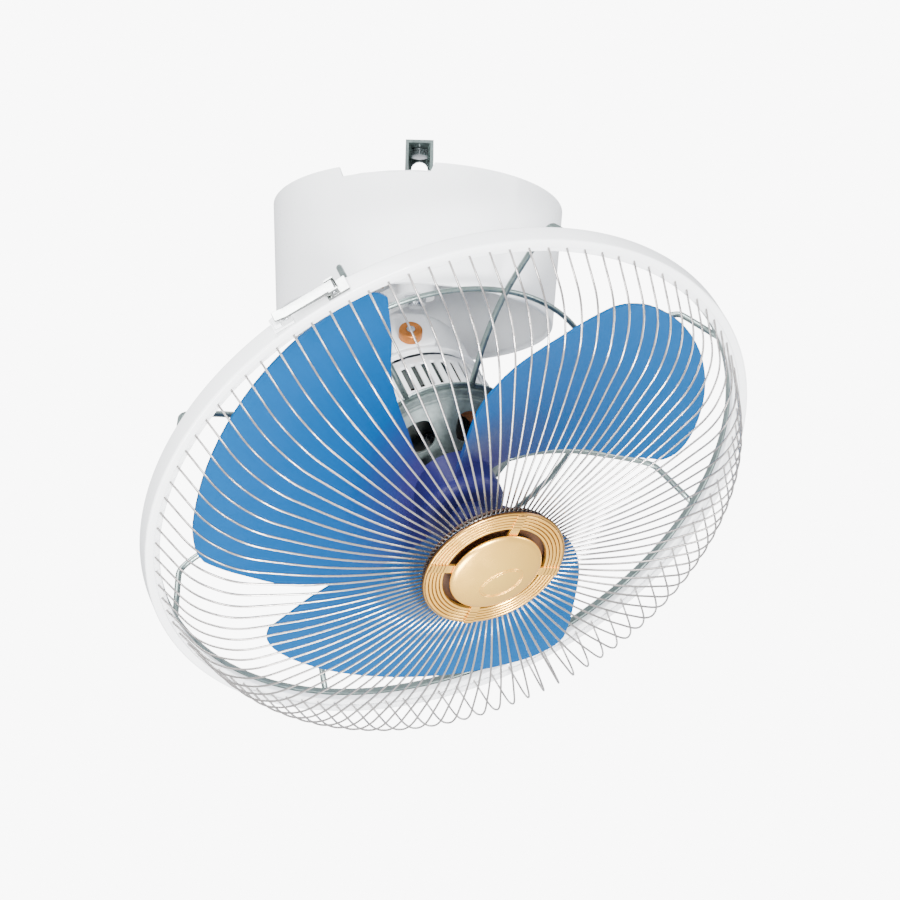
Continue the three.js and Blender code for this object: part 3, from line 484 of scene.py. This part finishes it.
# ---- ceiling unit ------------------------------------------------------------------------------------
def make_canopy():
    top, bottom, top_r, bottom_r, wall = -52.0, -146.0, 113.4, 107.5, 2.2
    ledge = -60.8
    taper = lambda z: bottom_r + (top_r - bottom_r) * (z - bottom) / (top - bottom)
    profile = rounded([
        (taper(bottom) - 3.4, bottom), (taper(bottom), bottom), (top_r, top), (top_r - wall, top),
        (taper(ledge) - wall, ledge), (86, ledge), (86, ledge - 2.2), (taper(ledge) - wall, ledge - 2.2),
        (taper(bottom + 5) - wall, bottom + 5), (taper(bottom) - 3.4, bottom + 3),
    ], [0.8, 1.6, 0.6, 0.6, 0.6, 0.8, 0.8, 1.5, 1.5, 0.8], 3, True)
    points, faces = lathe(profile, 216)
    low, high, floor = math.radians(-121), math.radians(-84), -60.0
    # The upper rim is lower across one sector at the front.
    sunk = []
    for x, y, z in points:
        inside = low <= math.atan2(y, x) <= high
        sunk.append((x, y, min(z, floor + (z - top) * 0.02) if inside else z))
    piece("canopy_shell", (sunk, faces), UPRIGHT, white_paint, "ceiling_unit",
          ["canopy"], bevel=0.25)


# ---- cage --------------------------------------------------------------------------------------------
# Height along the fan's axis at which the motor's two shells meet.
JOINT_T = 47.6
WIRES = 96
RODS, ROD_TURN = 8, 19.5
# One front wire's (radius, height) points, from the cap out to the hoop.
FRONT_WIRE = rounded(
    [(51, 172.5), (128, 170.6), (196, 155), (220, 133), (235, 86)], [0, 60, 16, 16, 0], 7)


def make_front_guard():
    wire = swept(radial(FRONT_WIRE), 0.82, 8)
    wires = [turned(wire, 2 * math.pi * (i + 0.5) / WIRES) for i in range(WIRES)]
    rim = lathe(rounded([(230, 84.2), (239.5, 84.2), (239.5, 90.1), (230, 90.1)], 1.2, 3, True), 192)
    inner = lathe(rounded([(49.6, 170.4), (52.6, 170.4), (52.6, 174.7), (49.6, 174.7)], 0.8, 3, True), 96)
    piece("wire_cage_front", merge(inner, *wires), HEAD, cream_wire, "head", ["front_guard"])
    piece("cage_front_rim", rim, HEAD, white_paint, "head", ["front_guard"])


def make_rear_guard():
    profile = rounded([
        (67.5, JOINT_T + 1.2), (100, 36.0), (141, 28.6), (196, 32.5), (214.5, 37), (219, 47), (233, 81.5),
    ], [0, 14, 22, 20, 9, 9, 0], 6)
    rod = swept(radial(profile), 2.4, 12)
    rods = [turned(rod, math.radians(ROD_TURN + 360 / RODS * k)) for k in range(RODS)]
    seat_rows = [(r, JOINT_T + t) for r, t in ((61, 0.2), (70, 0.2), (70, 2.2), (61, 2.2))]
    seat = lathe(rounded(seat_rows, 0.5, 3, True), 128)
    foot = lathe(rounded([(229, 77.9), (239.5, 77.9), (239.5, 83.8), (229, 83.8)], 1.2, 3, True), 192)
    tie = swept(ring_path(141, 24.5, 144), 2.2, 12, closed=True)
    shape = merge(seat, foot, tie, *rods)
    piece("wire_cage_rear", shape, HEAD, zinc_steel, "head", ["rear_guard"])


def make_hoop():
    outer, lip, rear, front, wall = 242.0, 235.4, 76.0, 92.0, 1.6
    profile = rounded([
        (outer, rear), (outer, front), (lip, front), (lip, front - wall), (outer - wall, front - wall),
        (outer - wall, rear + wall), (lip, rear + wall), (lip, rear),
    ], [2.2, 2.2, 0.5, 0.5, 1.2, 1.2, 0.5, 0.5], 5, True)
    piece("hoop_band", lathe(profile, 288), HEAD, white_paint, "head", ["guard_hoop"])


# ---- motor -------------------------------------------------------------------------------------------
BUSH_TURN = math.radians(86.5)
BUSH_SEAT = (60.9, 0, -16.5)
KNURLS, KNURL_SCALE = 28, 0.965


def make_swivel():
    profile = rounded([
        (8.6, -97), (15, -97), (17, -71), (38, -62.5), (52, -54), (58, -44), (58, -5.4), (60.4, -5.4),
        (60.4, -2.4), (55.4, -2.4), (55.4, -43), (50, -51.6), (36.5, -59.4), (8.6, -65),
    ], [0.5, 1.2, 6, 12, 8, 7, 0.8, 0.8, 0.8, 0.5, 5, 8, 10, 0.5], 5, True)
    shell = lathe(profile, 160)
    outline = rounded([(-19, -40), (19, -40), (19, -5.8), (-19, -5.8)], 6, 5, True)
    points, faces = [], []
    middle = -23
    for reach, inset in ((54.5, 1.0), (59.8, 1.0), (60.6, 0.96)):
        points += [(reach, y * inset, middle + (z - middle) * inset) for y, z in outline]
    count = len(outline)
    for row in range(2):
        for k in range(count):
            n = (k + 1) % count
            faces.append([row * count + k, row * count + n, (row + 1) * count + n, (row + 1) * count + k])
    faces.append(list(range(count))[::-1])
    faces.append([2 * count + k for k in range(count)])
    pad = turned((points, faces), BUSH_TURN)
    piece("swivel_shell", merge(shell, pad), HEAD, white_paint, "head", ["swivel_housing"])


def make_bush():
    profile = rounded([
        (2.2, -5.6), (6, -5.6), (6, 0), (8.8, 0), (9.2, 0.8), (9.2, 7.2), (8.2, 8.3), (3.8, 8.3), (2.2, 6.4),
    ], [0, 0.5, 0, 0.3, 0.3, 0.9, 0.6, 0.6, 0.3], 3, True)
    points, faces = lathe(profile, KNURLS * 4)
    rows = len(profile)
    worked = []
    for i, (x, y, z) in enumerate(points):
        radius = math.hypot(x, y)
        groove = (i // rows) % 4 == 0 and radius > 8.9 and 1.2 < z < 7.2
        scale = KNURL_SCALE if groove else 1.0
        worked.append((x * scale, y * scale, z))
    place = Matrix.Rotation(BUSH_TURN, 4, "Z") @ Matrix.Translation(BUSH_SEAT)
    place = place @ Matrix.Rotation(math.radians(90), 4, "Y")
    shape = moved((worked, faces), place)
    piece("side_bush_knurled", shape, HEAD, brass, "head", ["side_bush"])
    screw = lathe(rounded([
        (0, -9), (1.9, -9), (1.9, 6.4), (3.3, 8.15), (3.3, 8.5), (1.6, 8.7), (1.4, 7.4), (0, 7.4),
    ], [0, 0.3, 0.2, 0.2, 0.2, 0.1, 0.1, 0], 2), 48, False)
    piece("side_bush_screw_head", moved(screw, place), HEAD, steel, "head", ["side_bush_screw"])


VENTS, VENT_FIRST = 48, 5


def make_vent_shell():
    profile = [
        (13.4, -4.6), (30, -4.6), (44, -4.6), (49, -4.0), (54, -1.6), (57.6, 2.4), (59.8, 7.2), (60.8, 12.0),
        (61, 15.5), (61, 20), (61, 33.5), (61, 38), (61, 42), (61.8, 43), (65.2, 43.9), (66, 44.7),
        (66, JOINT_T - 0.6), (65.6, JOINT_T),
    ]
    vent_rows = range(7, 11)
    half = math.degrees(1.95 / 61)
    columns = []
    for i in range(VENTS):
        centre = VENT_FIRST + 360 / VENTS * i
        columns += [centre - half, centre + half, centre + 3.0, centre + 4.5]
    points, faces = [], []
    for angle in columns:
        a = math.radians(angle)
        points += [(r * math.cos(a), r * math.sin(a), z) for r, z in profile]
    rows, count = len(profile), len(columns)
    for j in range(count):
        here, there = j * rows, ((j + 1) % count) * rows
        for i in range(rows - 1):
            open_slot = j % 4 == 0 and i in vent_rows
            if not open_slot:
                faces.append([here + i, there + i, there + i + 1, here + i + 1])
    piece("vent_shell", (points, faces), HEAD, white_paint, "head",
          ["motor_rear_housing"], thick=2.3, bevel=0.3)


WINDOWS, WINDOW_TURN = 6, -3
SCREWS, SCREW_TURN, SCREW_RADIUS = 4, 47, 63.2


def make_cover():
    """Cast front cover with six rounded windows; each 60 degree panel is a ring of quads round one."""
    slope = [(57.5, 10.0), (49, 16.5), (36, 20.5), (22, 22.2)]
    low = JOINT_T + 2.4
    window_wide, window_tall, window_corner = 0.60, 0.66, 0.75

    def surface_point(across, down, turn):
        place = (down + 1) / 2 * 3
        k = min(int(place), 2)
        (r0, t0), (r1, t1) = slope[k], slope[k + 1]
        f = place - k
        angle = turn + math.radians(30) * across
        r = r0 + (r1 - r0) * f
        return (r * math.cos(angle), r * math.sin(angle), low + t0 + (t1 - t0) * f - 2)

    steps = 8
    edge = [(-1 + 2 * i / steps, -1) for i in range(steps)] + [(1, -1 + 2 * i / steps) for i in range(steps)]
    edge += [(1 - 2 * i / steps, 1) for i in range(steps)] + [(-1, 1 - 2 * i / steps) for i in range(steps)]
    points, faces = [], []
    for sector in range(WINDOWS):
        turn = math.radians(60 * sector + WINDOW_TURN)
        base = len(points)
        for x, y in edge:
            angle = math.atan2(y, x)
            cx, cy = math.cos(angle), math.sin(angle)
            wx = window_wide * math.copysign(abs(cx) ** window_corner, cx)
            wy = window_tall * math.copysign(abs(cy) ** window_corner, cy)
            for f in (0, 0.35, 0.7, 1.0):
                points.append(surface_point(x + (wx - x) * f, y + (wy - y) * f, turn))
        count = len(edge)
        for k in range(count):
            here, there = base + 4 * k, base + 4 * ((k + 1) % count)
            for f in range(3):
                faces.append([here + f, there + f, there + f + 1, here + f + 1])
    columns = []
    for i in range(WINDOWS * steps):
        columns.append(math.radians(WINDOW_TURN - 30 + 60 * i / steps))
    rim = [
        (56.6, 0), (66, 0), (66, 2.4), (63.4, 2.8), (61.6, 3.0), (61.2, 4.6), (60.2, 5.0), (59.8, 6.6),
        (57.5, 8.0),
    ]
    boss = [(22, 20.2), (19, 20.6), (17, 21.2), (17, 24.4), (16.2, 25), (11.4, 25)]
    for rows_profile in (rim, boss):
        base, rows = len(points), len(rows_profile)
        for angle in columns:
            points += [(r * math.cos(angle), r * math.sin(angle), low + t) for r, t in rows_profile]
        for j in range(len(columns)):
            here, there = base + j * rows, base + ((j + 1) % len(columns)) * rows
            for i in range(rows - 1):
                faces.append([here + i, there + i, there + i + 1, here + i + 1])
    piece("front_cover_cast", (points, faces), HEAD, cast_grey, "head",
          ["motor_front_cover"], thick=2.2, bevel=0.35)
    head = lathe(rounded([
        (0, 1.0), (1.6, 1.0), (1.6, 2.4), (3.1, 2.4), (3.1, 3.9), (2.2, 4.7), (0, 4.7),
    ], [0, 0, 0, 0.2, 0.4, 0.5, 0], 3), 32, False)
    screws = []
    for k in range(SCREWS):
        spot = Matrix.Rotation(math.radians(SCREW_TURN + 360 / SCREWS * k), 4, "Z")
        screws.append(moved(head, spot @ Matrix.Translation((SCREW_RADIUS, 0, low))))
    piece("cover_screws", merge(*screws), HEAD, steel, "head",
          ["housing_screw_1", "housing_screw_2", "housing_screw_3", "housing_screw_4"])


# ---- blades ------------------------------------------------------------------------------------------
BLADES, HUB_RADIUS, CAMBER, HALF_THICKNESS = 3, 31.5, 4, 1.05
# By radius, each edge's angle in degrees and its height; by place along the chord, the tip's radius.
LEADING_ANGLE = [(28, 14), (60, 0), (90, -5.5), (120, -9.5), (150, -14), (180, -16), (213, -17.5)]
TRAILING_ANGLE = [(28, 104), (60, 93), (103, 85), (133, 77), (166, 66), (187, 60.5), (213, 54)]
LEADING_T = [(28, 88), (60, 74), (110, 67), (213, 65)]
TRAILING_T = [(28, 110), (80, 114.5), (213, 110)]
TIP_RADIUS = [
    (0, 194), (0.015, 199.5), (0.04, 204.5), (0.1, 209), (0.25, 212), (0.45, 213), (0.9, 213),
    (0.97, 209.5), (0.99, 206.5), (1, 203),
]


def blade_point(outward, chord):
    r = HUB_RADIUS + (along(TIP_RADIUS, chord) - HUB_RADIUS) * outward
    lead, trail = along(LEADING_ANGLE, r), along(TRAILING_ANGLE, r)
    angle = math.radians(lead + (trail - lead) * chord)
    lead_t, trail_t = along(LEADING_T, r), along(TRAILING_T, r)
    t = lead_t + (trail_t - lead_t) * chord - CAMBER * math.sin(math.pi * chord)
    return Vector((r * math.cos(angle), r * math.sin(angle), t))


def blade():
    across, out = 34, 30
    chords = [(1 - math.cos(math.pi * j / across)) / 2 for j in range(across + 1)]
    outs = [math.sin(math.pi / 2 * i / out) for i in range(out + 1)]
    step = 1e-3
    sheets = ([], [])
    for o in outs:
        for c in chords:
            p = blade_point(o, c)
            du = blade_point(min(o + step, 1), c) - blade_point(max(o - step, 0), c)
            dv = blade_point(o, min(c + step, 1)) - blade_point(o, max(c - step, 0))
            normal = du.cross(dv).normalized()
            sheets[0].append(p + normal * HALF_THICKNESS)
            sheets[1].append(p - normal * HALF_THICKNESS)
    points = sheets[0] + sheets[1]
    row, total = across + 1, len(sheets[0])
    faces = []
    for i in range(out):
        for j in range(across):
            a = i * row + j
            faces.append([a, a + 1, a + row + 1, a + row])
            faces.append([total + a, total + a + row, total + a + row + 1, total + a + 1])
    edge = list(range(row)) + [i * row + across for i in range(1, out + 1)]
    edge += [out * row + j for j in range(across - 1, -1, -1)] + [i * row for i in range(out - 1, 0, -1)]
    for k, a in enumerate(edge):
        b = edge[(k + 1) % len(edge)]
        faces.append([a, total + a, total + b, b])
    return points, faces


def make_impeller():
    hub = lathe(rounded([
        (5.4, 90), (9, 90), (9, 113), (30, 113), (30, 84), (33, 84), (33, 113), (26, 119), (5.4, 119),
    ], [0.3, 0.3, 0.6, 0.6, 0.5, 0.8, 4, 4, 0.3], 4, True), 96)
    blades = [turned(blade(), math.radians(360 / BLADES * k)) for k in range(BLADES)]
    piece("blade_set", merge(hub, *blades), HEAD, blade_blue, "impeller",
          ["blade_impeller"], bevel=0.7)


# ---- cap ---------------------------------------------------------------------------------------------
CAP_TOP = 178.6
DOME_TOP, DOME_DROP, DOME_RADIUS, DOME_STEP = 187.4, 5.2, 34.8, 2.9
BADGE_CENTRE, BADGE_TURN = (2.7, -7.7), math.radians(16)
CAP_BARS = [math.radians(68.5 + 90 * k) for k in range(4)]


def dome_height(radius):
    return DOME_TOP - DOME_DROP * (radius / DOME_RADIUS) ** 2


def badge_rim(long_half, short_half, bar):
    """An oval raised line on the dome, round the bare badge field."""
    cosine, sine = math.cos(BADGE_TURN), math.sin(BADGE_TURN)
    path = []
    for k in range(120):
        angle = 2 * math.pi * k / 120
        along_x, along_y = long_half * math.cos(angle), short_half * math.sin(angle)
        x = BADGE_CENTRE[0] + along_x * cosine - along_y * sine
        y = BADGE_CENTRE[1] + along_x * sine + along_y * cosine
        path.append((x, y, dome_height(math.hypot(x, y)) + bar * 0.2))
    return swept(path, bar, 8, closed=True)


def make_cap():
    crest = [(40.6, CAP_TOP - 1.4), (40.8, CAP_TOP - 0.6)]
    for k in range(RIDGES):
        inner = RIDGE_FIRST + k * RIDGE_PITCH
        crest += [(inner, CAP_TOP - 0.5), (inner + 0.5, CAP_TOP), (inner + 1.9, CAP_TOP - 0.25),
                  (inner + 2.25, CAP_TOP - 1.0), (inner + 2.6, CAP_TOP - 1.0)]
    profile = [(40.6, 175)] + crest + [(55.4, CAP_TOP - 1.2), (56.2, CAP_TOP - 2.0), (56.4, 176), (56.2, 175)]
    ring = lathe(profile, 192)
    bars = []
    for angle in CAP_BARS:
        bars.append(turned(block((18.6, -3.6, 176.9), (55.0, 3.6, 179.2)), angle))
    core = lathe(rounded([(6, 176.8), (26, 176.8), (26, 179), (6, 179)], 0.4, 2, True), 96)
    piece("cap_annulus", merge(ring, core, *bars), HEAD, gold, "head", ["cap_ring"], bevel=0.25)
    dome_radii = [DOME_RADIUS - DOME_STEP * k for k in range(12)] + [0]
    dome_rows = [(r, dome_height(r)) for r in dome_radii]
    rim_rows = [(0, 179.3), (35.4, 179.3), (36.2, 179.9), (36.2, 180.8), (35.7, 181.5), (35.2, 181.8)]
    dome = lathe(rim_rows + dome_rows, 160, False)
    piece("cap_dome", merge(dome, badge_rim(17.5, 13.0, 0.45), badge_rim(15.6, 11.2, 0.25)), HEAD,
          gold, "head", ["cap_disc"])


# ---- carried-over solids -----------------------------------------------------------------------------
# Nodes whose finish here differs from the one of their slot; the cap plate and its screw get a dark brown as
# painted shadow seen through the cap's slots.
REPAINTED = {
    "latch_lever": chrome, "latch_base": chrome, "cap_plate": cap_slot_shadow, "cap_screw": cap_slot_shadow,
    "support_plate": white_paint, "carrier_arm": white_paint, "bearing_housing": white_paint,
    "orbit_motor": white_paint, "spindle_gear": steel, "spinner_nut": blade_blue,
}


def dress_nodes():
    slots = {row["node"]: row["material_slot"] for row in frame["record"]["subparts"]}
    for name, node in nodes.items():
        material = REPAINTED.get(name, SLOTS[slots[name]])
        node.data.materials.clear()
        node.data.materials.append(material)
        for polygon in node.data.polygons:
            polygon.use_smooth = True
        weld = node.modifiers.new("weld", "WELD")
        weld.merge_threshold = NODE_WELD
        bevelled(node, 0.3)


make_camera()
make_floor()
make_studio()
dress_nodes()
make_canopy()
make_front_guard()
make_rear_guard()
make_hoop()
make_swivel()
make_bush()
make_vent_shell()
make_cover()
make_impeller()
make_cap()
